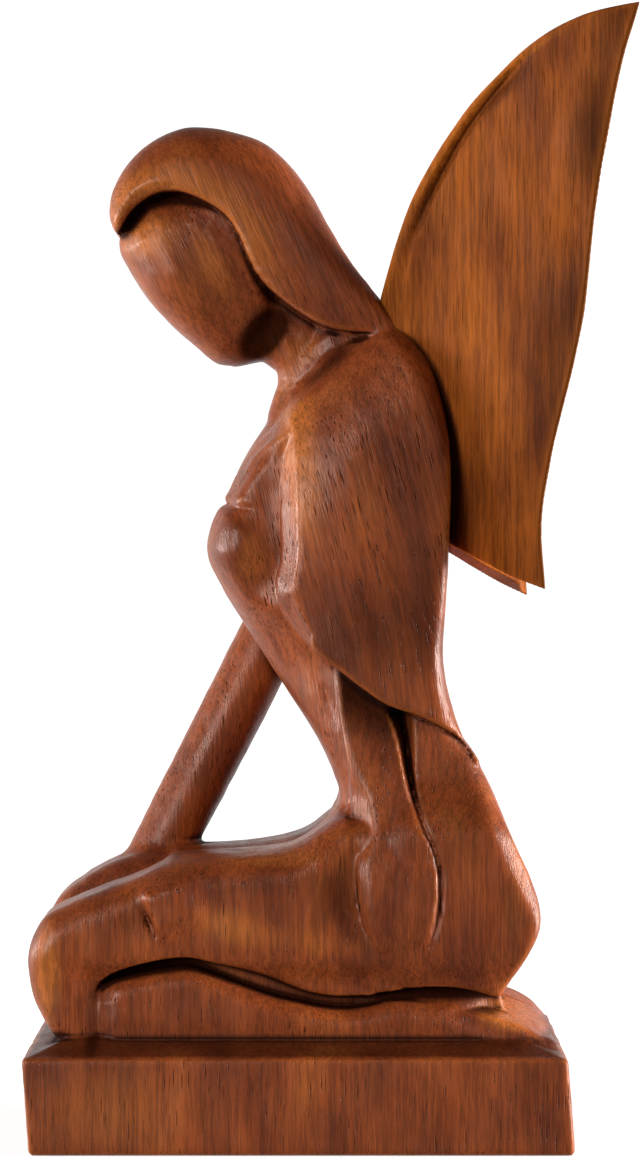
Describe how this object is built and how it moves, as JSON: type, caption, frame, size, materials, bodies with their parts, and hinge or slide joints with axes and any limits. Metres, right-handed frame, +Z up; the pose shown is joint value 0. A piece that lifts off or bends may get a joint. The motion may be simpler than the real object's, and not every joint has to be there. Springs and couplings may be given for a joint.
{
  "type": "carved wooden figurine",
  "caption": "Abstract kneeling winged figure with bowed head, carved in brown-stained hardwood on a rectangular plinth, with pull-off wings pinned to its back.",
  "frame": {"origin": "middle of the plinth's underside", "axes": "+Z up; the figure faces -X, with its left side towards -Y"},
  "size_m": [0.1635, 0.1759, 0.3037],
  "materials": {
    "figure_wood": "reddish brown stained hardwood with open pores and a satin wax",
    "wing_wood": "golden brown stained hardwood with a satin wax",
    "dowel_wood": "bare turned hardwood"
  },
  "bodies": {
    "figure": {"figure": "figure_wood"},
    "wing_left": {"wing_left": "wing_wood", "wing_left_dowel_lower": "dowel_wood", "wing_left_dowel_upper": "dowel_wood"},
    "wing_right": {"wing_right": "wing_wood", "wing_right_dowel_lower": "dowel_wood", "wing_right_dowel_upper": "dowel_wood"}
  },
  "joints": [
    {"name": "wing_left_slide", "type": "slide", "parent": "figure", "child": "wing_left", "axis": [0.766, -0.6428, 0], "range_m": [0, 0.02]},
    {"name": "wing_right_slide", "type": "slide", "parent": "figure", "child": "wing_right", "axis": [0.7468, 0.6642, -0.0344], "range_m": [0, 0.02]}
  ]
}
